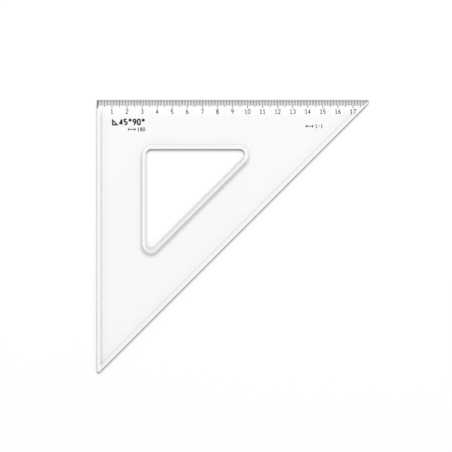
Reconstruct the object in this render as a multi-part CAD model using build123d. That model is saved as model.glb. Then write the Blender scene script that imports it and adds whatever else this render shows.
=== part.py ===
from build123d import *
from math import atan2, degrees, sqrt
import os

# Clear 45-degree set square with a printed centimetre scale.  Millimetres.
#
# The origin is the right-angle corner on the underside.  +X runs along the scale leg, the
# other leg runs along -Y, and +Z is up.  The ink lies flush in the underside, against the
# paper, and reads upright from above with +Y at the top.

# Plate
LEG = 182.3                  # right-angle corner to either sharp 45-degree tip
THICKNESS = 2.2
FRAME_WIDTH = 32.6           # from each leg to the window
HYPOTENUSE_FRAME_WIDTH = 33.1
CORNER_RADIUS = 0.5
TIP_RADIUS = 1.2
WINDOW_RADIUS = 3.4
ARRIS = 0.3                  # rounding along the rims

# Facet that thins the plate under the graduation
FACET_WIDTH = 10.0
SCALE_EDGE_THICKNESS = 0.8

# Stepped edge, from the rim inwards: a low lip, a short steep riser and a shallow ramp
LIP_WIDTH = 2.5
LIP_HEIGHT = 1.5
RISER_RUN = 0.9
RISER_TOP = 2.1
EDGE_WIDTH = 5.6

# Print
INK = 0.05                   # depth of the inked recesses in the underside
SCALE_LENGTH = 180
PRINT_GAP = 0.3              # between the rim and the nearest print
PRINT_MARGIN = 1.2           # the graduation stops this far short of the hypotenuse
TICK_WIDTH = 0.4
MM_TICK = 3.8
HALF_CM_TICK = 4.7
CM_TICK = 5.5
LAST_NUMERAL = 17
NUMERAL_BASE = 9.4           # base line of the numerals, from the scale edge
NUMERAL_HEIGHT = 3.2
FINE_PEN = 0.42
FINE_GAP = 0.3               # between neighbouring fine digits
BOLD_PEN = 0.95
BOLD_GAP = 0.2
EMBLEM_HEIGHT = 4.5
NOTE_HEIGHT = 2.6
ARROW_LENGTH = 5.0
ARROW_BARB = 0.8
ARROW_GAP = 1.0              # between an arrow and its number
EMBLEM_PLACE = (20.9, -16.9)
LENGTH_NOTE_PLACE = (26.2, -20.8)
TRUE_SCALE_NOTE_PLACE = (144.1, -18.7)


# ---------------------------------------------------------------- plate

def triangle(leg, square_radius, tip_radius):
    """Right isosceles triangle with its square corner at the origin, rounded in plan."""
    face = make_face(Polyline((0, 0), (leg, 0), (0, -leg), close=True))
    face = fillet(face.vertices().sort_by_distance((0, 0))[0], square_radius)
    tips = face.vertices().filter_by(lambda v: v.X - v.Y > leg - tip_radius)
    return fillet(tips, tip_radius)


def window(grow=0.0):
    """Window outline, grown outwards by the given distance with its corners kept round."""
    inner_leg = LEG - 2 * FRAME_WIDTH - sqrt(2) * HYPOTENUSE_FRAME_WIDTH
    outline = Pos(FRAME_WIDTH, -FRAME_WIDTH) * triangle(inner_leg, WINDOW_RADIUS, WINDOW_RADIUS)
    return offset(outline, grow) if grow else outline


def bar(profile, length):
    """Bar along +X from a closed profile of (y, z) points."""
    section = Plane.YZ * make_face(Polyline(*profile, close=True))
    return extrude(section, length)


def facet_cutter():
    """What the scale leg loses above its sloping facet."""
    above = THICKNESS + 1
    slope = (THICKNESS - SCALE_EDGE_THICKNESS) / FACET_WIDTH
    profile = [
        (1, SCALE_EDGE_THICKNESS - slope),
        (-FACET_WIDTH, THICKNESS),
        (-FACET_WIDTH, above),
        (1, above),
    ]
    return bar(profile, LEG)


def edge_cutter(length):
    """What a stepped edge loses: a bar along +X, with its rim at y = 0 and the plate at -Y."""
    above = THICKNESS + 1
    profile = [
        (1, LIP_HEIGHT),
        (-LIP_WIDTH, LIP_HEIGHT),
        (-LIP_WIDTH - RISER_RUN, RISER_TOP),
        (-EDGE_WIDTH, THICKNESS),
        (-EDGE_WIDTH, above),
        (1, above),
    ]
    return bar(profile, length)


def window_cutter(low, high, z_low, z_high):
    """One level of the stepped edge round the window: a tapered plug of the window's shape."""
    base = Plane.XY.offset(z_low) * window(low)
    taper = degrees(atan2(high - low, z_high - z_low))
    return extrude(base, z_high - z_low, taper=-taper)


def make_plate():
    plate = extrude(triangle(LEG, CORNER_RADIUS, TIP_RADIUS), THICKNESS)
    plate -= facet_cutter()
    plate -= Pos(0, -LEG) * Rot(0, 0, 90) * edge_cutter(LEG)
    plate -= Pos(LEG, 0) * Rot(0, 0, -135) * edge_cutter(LEG * sqrt(2))

    riser_foot = LIP_WIDTH + RISER_RUN
    plate -= extrude(window(), THICKNESS)
    plate -= extrude(Plane.XY.offset(LIP_HEIGHT) * window(LIP_WIDTH), THICKNESS)
    plate -= window_cutter(LIP_WIDTH, riser_foot, LIP_HEIGHT, RISER_TOP)
    plate -= window_cutter(riser_foot, EDGE_WIDTH, RISER_TOP, THICKNESS)

    walls = plate.faces().filter_by(lambda face: abs(face.normal_at().Z) < 1e-6)
    rims = walls.edges().filter_by(Axis.Z, reverse=True)
    return fillet(rims, ARRIS)


# ---------------------------------------------------------------- figures, drawn with a pen

def line(*points):
    return list(Polyline(*points).edges())


def arc(radius, height, start, sweep):
    """Arc about a point on the figure's upright centre line, angles in degrees."""
    return [CenterArc((0, height), radius, start, sweep)]


def digit_strokes(value, height, pen):
    """Pen paths of one digit that stands on y = 0 and is centred on x = 0."""
    top = height - pen
    r = top / 4
    return {
        0: [
            arc(r, 3 * r, 0, 180) + line((-r, 3 * r), (-r, r))
            + arc(r, r, 180, 180) + line((r, r), (r, 3 * r))
        ],
        1: [line((-0.9 * r, 3.1 * r), (0, top)), line((0, top), (0, 0)), line((-0.8 * r, 0), (0.8 * r, 0))],
        2: [arc(r, 3 * r, 180, -215) + line((0.82 * r, 2.43 * r), (-r, 0), (r, 0))],
        3: [arc(r, 3 * r, 150, -240), arc(r, r, 90, -240)],
        4: [line((0.4 * r, 0), (0.4 * r, top)), line((0.4 * r, top), (-r, 1.1 * r), (r, 1.1 * r))],
        5: [line((0.8 * r, top), (-0.9 * r, top), (-0.9 * r, 1.8 * r)), arc(r, 1.15 * r, 140, -280)],
        6: [arc(r, r, 0, 360), [ThreePointArc((-r, r), (-0.6 * r, 2.8 * r), (0.5 * r, top))]],
        7: [line((-r, top), (r, top), (-0.3 * r, 0))],
        8: [arc(0.9 * r, 3.1 * r, 0, 360), arc(1.05 * r, 1.05 * r, 0, 360)],
        9: [arc(r, 3 * r, 0, 360), [ThreePointArc((r, 3 * r), (0.6 * r, 1.2 * r), (-0.5 * r, 0))]],
        ":": [line((0, 0.6 * r), (0, 0.6 * r + pen)), line((0, 2.4 * r), (0, 2.4 * r + pen))],
        "°": [arc(0.6 * r, 3.4 * r, 0, 360)],
    }[value]


def figure(strokes, pen):
    """Area inked by pen paths, lifted so that the lowest ones stand on y = 0."""
    inked = [trace(path, pen) for path in strokes]
    return Pos(0, pen / 2) * (Sketch() + inked)


def lettering(values, height, pen, gap):
    """A row of digits and signs centred on x = 0, standing on y = 0."""
    pitch = (height - pen) / 2 + pen + gap
    middle = (len(values) - 1) / 2
    row = Sketch()
    for place, value in enumerate(values):
        row += Pos((place - middle) * pitch, 0) * figure(digit_strokes(value, height, pen), pen)
    return row


# ---------------------------------------------------------------- print

def tick_length(mark):
    if mark % 10 == 0:
        return CM_TICK
    return HALF_CM_TICK if mark % 5 == 0 else MM_TICK


def ticks(marks):
    """Graduation lines at whole millimetres, ending on a line parallel to the hypotenuse."""
    end = LEG - PRINT_MARGIN * sqrt(2)
    field = make_face(Polyline((0, -PRINT_GAP), (end, -PRINT_GAP), (0, -end), close=True))
    lines = Sketch()
    for mark in marks:
        x = max(mark, PRINT_GAP + TICK_WIDTH / 2)
        length = tick_length(mark)
        lines += Pos(x, -length / 2) * Rectangle(TICK_WIDTH, length)
    return lines & field


def numeral(value):
    digits = [int(character) for character in str(value)]
    return Pos(10 * value, -NUMERAL_BASE) * lettering(digits, NUMERAL_HEIGHT, FINE_PEN, FINE_GAP)


def small_square(leg):
    """Filled pictogram of a set square with its right angle at the lower left."""
    solid = make_face(Polyline((0, 0), (leg, 0), (0, leg), close=True))
    hole_leg = 0.36 * leg
    hole = make_face(Polyline((0, 0), (hole_leg, 0), (0, hole_leg), close=True))
    return solid - Pos(0.2 * leg, 0.2 * leg) * hole


def side_by_side(left, right, gap):
    """Two sketches on one base line, the pair centred on x = 0."""
    left_box, right_box = left.bounding_box(), right.bounding_box()
    width = left_box.size.X + gap + right_box.size.X
    left_place = Pos(-width / 2 - left_box.min.X, 0)
    right_place = Pos(width / 2 - right_box.max.X, 0)
    return left_place * left + right_place * right


def angle_emblem():
    """Bold generic emblem: a small set square and its two angles."""
    angles = lettering([4, 5, "°", 9, 0, "°"], EMBLEM_HEIGHT, BOLD_PEN, BOLD_GAP)
    square = Sketch() + small_square(EMBLEM_HEIGHT)
    return Pos(*EMBLEM_PLACE) * side_by_side(square, angles, gap=0)


def dimension_note(values):
    """Fine generic note: a dimension arrow and a number."""
    middle = (NOTE_HEIGHT - FINE_PEN) / 2
    low, high = middle - ARROW_BARB, middle + ARROW_BARB
    neck = ARROW_LENGTH - ARROW_BARB
    arrow = figure([
        line((0, middle), (ARROW_LENGTH, middle)),
        line((ARROW_BARB, low), (0, middle), (ARROW_BARB, high)),
        line((neck, low), (ARROW_LENGTH, middle), (neck, high)),
    ], FINE_PEN)
    number = lettering(values, NOTE_HEIGHT, FINE_PEN, FINE_GAP)
    return side_by_side(arrow, number, ARROW_GAP)


plate = make_plate()
millimetres = [mark for mark in range(SCALE_LENGTH + 1) if mark % 5]
half_centimetres = range(5, SCALE_LENGTH, 10)
centimetres = range(0, SCALE_LENGTH + 1, 10)

prints = {
    "millimetre_marks": ticks(millimetres),
    "half_centimetre_marks": ticks(half_centimetres),
    "centimetre_marks": ticks(centimetres),
    "angle_emblem": angle_emblem(),
    "length_note": Pos(*LENGTH_NOTE_PLACE) * dimension_note([1, 8, 0]),
    "true_scale_note": Pos(*TRUE_SCALE_NOTE_PLACE) * dimension_note([1, ":", 1]),
}
for value in range(1, LAST_NUMERAL + 1):
    prints[f"numeral_{value:02d}"] = numeral(value)

os.makedirs("parts", exist_ok=True)
for name, sketch in prints.items():
    ink = extrude(sketch, INK)
    plate -= ink
    export_step(ink, f"parts/{name}.step")
export_step(plate, "parts/plate.step")
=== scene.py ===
from math import cos, pi, radians, sin

import bpy
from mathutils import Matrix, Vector


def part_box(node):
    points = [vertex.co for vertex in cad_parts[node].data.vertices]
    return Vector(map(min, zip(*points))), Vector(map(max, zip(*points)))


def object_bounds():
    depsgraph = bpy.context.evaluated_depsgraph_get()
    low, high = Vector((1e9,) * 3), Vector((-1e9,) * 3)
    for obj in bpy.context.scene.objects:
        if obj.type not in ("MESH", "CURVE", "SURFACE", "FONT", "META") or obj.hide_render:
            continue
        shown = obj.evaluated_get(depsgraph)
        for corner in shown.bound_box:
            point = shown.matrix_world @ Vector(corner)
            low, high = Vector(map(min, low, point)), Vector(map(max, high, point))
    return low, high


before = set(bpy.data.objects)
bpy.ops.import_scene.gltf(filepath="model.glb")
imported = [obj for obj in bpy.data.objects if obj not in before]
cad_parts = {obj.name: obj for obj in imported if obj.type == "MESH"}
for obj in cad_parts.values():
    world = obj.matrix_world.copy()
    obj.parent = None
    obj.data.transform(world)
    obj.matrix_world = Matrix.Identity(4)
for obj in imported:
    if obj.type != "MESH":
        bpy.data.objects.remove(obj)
cad_low, cad_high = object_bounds()
centre = (cad_low + cad_high) / 2
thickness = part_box("plate")[1].z

# ---------------------------------------------------------------- picture and light
# Lengths are in metres and angles in degrees.

VIEW_WIDTH = 0.3002          # width of the picture at the square's level
AIM_OFFSET = (-0.0046, 0.0066)
LENS = 180.0                 # millimetres, as is the sensor
SENSOR = 36.0

KEY_AZIMUTH = -5.0
KEY_ELEVATION = 42.0
KEY_DISTANCE = 6.0
KEY_SIZE = 4.0               # across the disc
KEY_SHARE = 0.6              # of the light that falls on the floor

FLOOR_LEVEL = 1.085          # brightness of the bare floor, 1 being white
FLOOR_GREY = 0.9
FLOOR_ROUGHNESS = 0.9
FLOOR_SIDE = 6.0
FLOOR_GAP = 0.00005          # keeps the floor clear of the underside

# ---------------------------------------------------------------- clear plastic

PLASTIC_IOR = 1.49
LET_OUT_AFTER = 3.5          # bounces, after which light still caught in the plate is let out

# How far up a face points: 0 is a wall and 1 is flat
WALL_TO = 0.4                # walls end here
SLOPE_FROM = 0.6             # risers and rounded rims begin here
RISER_AT = 0.8
WORN_TO = 0.9                # wear is full up to here and gone on flat faces
SLOPE_TO = 0.92              # risers and rounded rims end here
UNSHADED_FROM = 0.97
FLAT_FROM = 0.98

# Share of lamp light that each kind of face lets straight through
LIT_WALL_PASS = 0.7          # light that enters the plate through a wall
FAR_WALL_PASS = 0.08         # light that would leave by one, which the wall turns back
LIT_RISER_PASS = 0.05        # a riser that faces the lamp
FAR_RISER_PASS = 1.0         # one that is turned away from it
RISER_FACING = (0.1, 0.8)    # Layer Weight's value for the first and the second

# Painted shade of each kind of face as it is looked through: walls and rounded rims darkest, risers
# less, standing in for the dark lines that refraction and shadows draw along the edges
EDGE_PAINTED_SHADE = 0.3
RISER_PAINTED_SHADE = 0.85
# Painted shade: the flat top is darkened so that the rim beside it reads lighter
FIELD_PAINTED_SHADE = 0.93            # the flat top, from the second depth below it up
FIELD_DEPTHS = (0.00004, 0.00001)

# Noise scales are cycles per metre
NOISE_RANGE = (0.3, 0.7)     # holds most of a noise texture's values
CLOUD_SCALE = 25.0
CLOUD_TINT = 0.996
SMUDGE_SCALE = 60.0
SMUDGE_DETAIL = 4.0
SMUDGE_RANGE = (0.4, 0.7)
SMUDGE_ROUGHNESS = (0.02, 0.06)
WORN_ROUGHNESS = 0.25

SCRATCH_SETS = ((0.5, 0.33), (-1.1, 0.31))     # direction in radians, and density
SCRATCH_STRETCH = (9, 900, 1)
SCRATCH_DETAIL = 3.0
SCRATCH_FADE = 0.05
SCRATCH_ROUGHNESS = 0.12
SCRATCH_STRENGTH = 0.15
SCRATCH_DEPTH = 0.00002

# ---------------------------------------------------------------- ink

INK_COLOUR = (0.012, 0.012, 0.013)
SCALE_INK_COLOUR = (0.05, 0.03, 0.055)
FILM_SCALE = 4000.0
FILM_DETAIL = 3.0
FILM_RANGE = (0.45, 0.75)
THIN_GAIN = 2.5              # a thin film's colour is this many times the full one, plus the lift
THIN_LIFT = 0.02
GRAIN_SCALE = 9000.0
INK_ROUGHNESS = (0.45, 0.7)

GRADUATION = ("millimetre_marks", "half_centimetre_marks", "centimetre_marks")


# ---------------------------------------------------------------- camera, floor and light

def make_camera():
    data = bpy.data.cameras.new("camera")
    data.lens = LENS
    data.sensor_width = SENSOR
    camera = bpy.data.objects.new("camera", data)
    distance = VIEW_WIDTH * LENS / SENSOR
    camera.location = (centre.x + AIM_OFFSET[0], centre.y + AIM_OFFSET[1], distance)
    bpy.context.collection.objects.link(camera)
    bpy.context.scene.camera = camera


def make_floor(material):
    half = FLOOR_SIDE / 2
    corners = [(-half, -half, 0), (half, -half, 0), (half, half, 0), (-half, half, 0)]
    mesh = bpy.data.meshes.new("floor")
    mesh.from_pydata(corners, [], [(0, 1, 2, 3)])
    mesh.materials.append(material)
    floor = bpy.data.objects.new("floor", mesh)
    floor.location = (centre.x, centre.y, -FLOOR_GAP)
    bpy.context.collection.objects.link(floor)


def make_key_light():
    data = bpy.data.lights.new("key", "AREA")
    data.shape = "DISK"
    data.size = KEY_SIZE
    azimuth, elevation = radians(KEY_AZIMUTH), radians(KEY_ELEVATION)
    # The power that a small lamp at this distance would need for the floor's level
    level = FLOOR_LEVEL * KEY_SHARE / FLOOR_GREY
    data.energy = level * (pi * KEY_DISTANCE) ** 2 / sin(elevation)
    light = bpy.data.objects.new("key", data)
    across = cos(elevation)
    toward = Vector((-sin(azimuth) * across, cos(azimuth) * across, sin(elevation)))
    light.location = centre + toward * KEY_DISTANCE
    light.rotation_mode = "QUATERNION"
    light.rotation_quaternion = toward.to_track_quat("Z", "Y")
    bpy.context.collection.objects.link(light)
    # Its mirror image in the plate would wash out the print from the front
    light.visible_glossy = False
    light.visible_transmission = False


def make_fill():
    world = bpy.data.worlds.new("studio")
    bpy.context.scene.world = world
    world.use_nodes = True
    background = world.node_tree.nodes["Background"]
    background.inputs["Color"].default_value = (1, 1, 1, 1)
    background.inputs["Strength"].default_value = FLOOR_LEVEL * (1 - KEY_SHARE) / FLOOR_GREY


# ---------------------------------------------------------------- node helpers

def new_material(name):
    """An empty node material; returns it with its tree and its Principled shader."""
    material = bpy.data.materials.new(name)
    material.use_nodes = True
    tree = material.node_tree
    return material, tree, tree.nodes["Principled BSDF"]


def add(tree, kind, inputs=None, **settings):
    """A node whose inputs are given as sockets or as plain values."""
    node = tree.nodes.new("ShaderNode" + kind)
    for key, value in settings.items():
        setattr(node, key, value)
    connect(tree, node, inputs or {})
    return node


def connect(tree, node, inputs):
    for key, value in inputs.items():
        if isinstance(value, bpy.types.NodeSocket):
            tree.links.new(value, node.inputs[key])
        else:
            node.inputs[key].default_value = value


def maths(tree, operation, first, second=0.0):
    return add(tree, "Math", {0: first, 1: second}, operation=operation).outputs[0]


def remap(tree, value, low, high, to_low=0.0, to_high=1.0):
    inputs = {"Value": value, "From Min": low, "From Max": high, "To Min": to_low, "To Max": to_high}
    return add(tree, "MapRange", inputs).outputs["Result"]


def noise(tree, where, scale, detail=2.0):
    inputs = {"Vector": where, "Scale": scale, "Detail": detail}
    return add(tree, "TexNoise", inputs).outputs["Fac"]


def stretched(tree, where, angle, scale):
    inputs = {"Vector": where, "Rotation": (0, 0, angle), "Scale": scale}
    return add(tree, "Mapping", inputs).outputs[0]


def mix_shaders(tree, share, first, second):
    return add(tree, "MixShader", {0: share, 1: first, 2: second}).outputs[0]


def see_through(tree, colour):
    return add(tree, "BsdfTransparent", {"Color": colour}).outputs[0]


def set_stops(node, stops):
    """Makes a colour ramp's greys from (position, grey) pairs."""
    ramp = node.color_ramp
    while len(ramp.elements) < len(stops):
        ramp.elements.new(0.5)
    for element, (position, grey) in zip(ramp.elements, stops):
        element.position = position
        element.color = (grey, grey, grey, 1)


# ---------------------------------------------------------------- materials

def floor_paper():
    material, tree, shader = new_material("floor")
    connect(tree, shader, {
        "Base Color": (FLOOR_GREY, FLOOR_GREY, FLOOR_GREY, 1),
        "Roughness": FLOOR_ROUGHNESS,
        "Specular IOR Level": 0.0,
    })
    return material


def scratches(tree, where, angle, density):
    """Hairlines that run at one angle, from 0 to 1."""
    streaks = noise(tree, stretched(tree, where, angle, SCRATCH_STRETCH), 1.0, SCRATCH_DETAIL)
    return remap(tree, streaks, 1 - density, 1 - density + SCRATCH_FADE)


def straight_light(tree, geometry, upright):
    """Tint of the light that passes straight through.  Flat faces pass it all.  A riser passes
    less the more it faces the lamp, and a wall passes mainly what comes in through it."""
    away = add(tree, "LayerWeight").outputs["Facing"]
    riser = remap(tree, away, *RISER_FACING, LIT_RISER_PASS, FAR_RISER_PASS)
    wall = remap(tree, geometry.outputs["Backfacing"], 0, 1, FAR_WALL_PASS, LIT_WALL_PASS)
    sloping = remap(tree, upright, FLAT_FROM, SLOPE_TO)
    vertical = remap(tree, upright, SLOPE_FROM, WALL_TO)
    flat_or_riser = add(tree, "Mix", {0: sloping, 2: 1.0, 3: riser}).outputs[0]
    return add(tree, "Mix", {0: vertical, 2: flat_or_riser, 3: wall}).outputs[0]


def painted_shade_and_cloud(tree, where, upright):
    # Painted shade: walls and rounded rims darkest, risers less, faces near flat not at all
    painted_edge_shade = add(tree, "ValToRGB", {"Fac": upright})
    set_stops(painted_edge_shade, [
        (0.0, EDGE_PAINTED_SHADE),
        (SLOPE_FROM, EDGE_PAINTED_SHADE),
        (RISER_AT, RISER_PAINTED_SHADE),
        (UNSHADED_FROM, 1.0),
    ])
    height = add(tree, "SeparateXYZ", {0: where}).outputs["Z"]
    field_low, field_high = (thickness - depth for depth in FIELD_DEPTHS)
    # Painted shade on the flat top, so the lower rim beside it reads lighter
    field = remap(tree, height, field_low, field_high, 1.0, FIELD_PAINTED_SHADE)
    cloud = remap(tree, noise(tree, where, CLOUD_SCALE), *NOISE_RANGE, CLOUD_TINT, 1.0)
    shade = maths(tree, "MULTIPLY", field, cloud)
    inputs = {0: painted_edge_shade.outputs["Color"], "Scale": shade}
    return add(tree, "VectorMath", inputs, operation="SCALE").outputs[0]


def clear_plastic():
    """Clear moulding with painted shade on its steep faces and flat top.  Lamp and floor light pass
    straight through it, less on steep faces.
    """
    material, tree, shader = new_material("clear_plastic")
    where = add(tree, "TexCoord").outputs["Object"]
    geometry = add(tree, "NewGeometry")
    normal = add(tree, "SeparateXYZ", {0: geometry.outputs["True Normal"]})
    upright = maths(tree, "ABSOLUTE", normal.outputs["Z"])

    one_way, other_way = (scratches(tree, where, *kind) for kind in SCRATCH_SETS)
    scuffs = maths(tree, "MAXIMUM", one_way, other_way)
    smears = noise(tree, where, SMUDGE_SCALE, SMUDGE_DETAIL)
    smudge = remap(tree, smears, *SMUDGE_RANGE, *SMUDGE_ROUGHNESS)
    worn = remap(tree, upright, WORN_TO, FLAT_FROM, WORN_ROUGHNESS, 0.0)
    dull = maths(tree, "ADD", smudge, worn)
    scuffed = maths(tree, "MULTIPLY", scuffs, SCRATCH_ROUGHNESS)
    bump = add(tree, "Bump", {
        "Height": scuffs,
        "Strength": SCRATCH_STRENGTH,
        "Distance": SCRATCH_DEPTH,
    })
    connect(tree, shader, {
        # painted shade on steep faces and the flat top, with a faint random cloud of tone
        "Base Color": painted_shade_and_cloud(tree, where, upright),
        "Roughness": maths(tree, "ADD", dull, scuffed),
        "Normal": bump.outputs[0],
        "Transmission Weight": 1.0,
        "IOR": PLASTIC_IOR,
    })

    rays = add(tree, "LightPath")
    straight = see_through(tree, straight_light(tree, geometry, upright))
    surface = shader.outputs["BSDF"]
    for kind in ("Is Diffuse Ray", "Is Shadow Ray"):
        surface = mix_shaders(tree, rays.outputs[kind], surface, straight)
    caught = maths(tree, "GREATER_THAN", rays.outputs["Ray Depth"], LET_OUT_AFTER)
    surface = mix_shaders(tree, caught, surface, see_through(tree, (1, 1, 1, 1)))
    tree.links.new(surface, tree.nodes["Material Output"].inputs["Surface"])
    return material


def stamped_ink(name, colour):
    """Hot-stamped ink with a slightly uneven film."""
    material, tree, shader = new_material(name)
    where = add(tree, "TexCoord").outputs["Object"]
    film = remap(tree, noise(tree, where, FILM_SCALE, FILM_DETAIL), *FILM_RANGE)
    thin = tuple(min(1.0, THIN_GAIN * channel + THIN_LIFT) for channel in colour)
    mix = add(tree, "Mix", {0: film, 6: (*colour, 1), 7: (*thin, 1)}, data_type="RGBA")
    connect(tree, shader, {
        "Base Color": mix.outputs[2],
        "Roughness": remap(tree, noise(tree, where, GRAIN_SCALE), *NOISE_RANGE, *INK_ROUGHNESS),
    })
    return material


# ---------------------------------------------------------------- the object

make_camera()
make_floor(floor_paper())
make_key_light()
make_fill()
bpy.context.scene.view_settings.view_transform = "Standard"

plastic = clear_plastic()
ink = stamped_ink("black_ink", INK_COLOUR)
scale_ink = stamped_ink("scale_ink", SCALE_INK_COLOUR)
for name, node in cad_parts.items():
    material = plastic if name == "plate" else scale_ink if name in GRADUATION else ink
    for slot in node.material_slots:
        slot.material = material
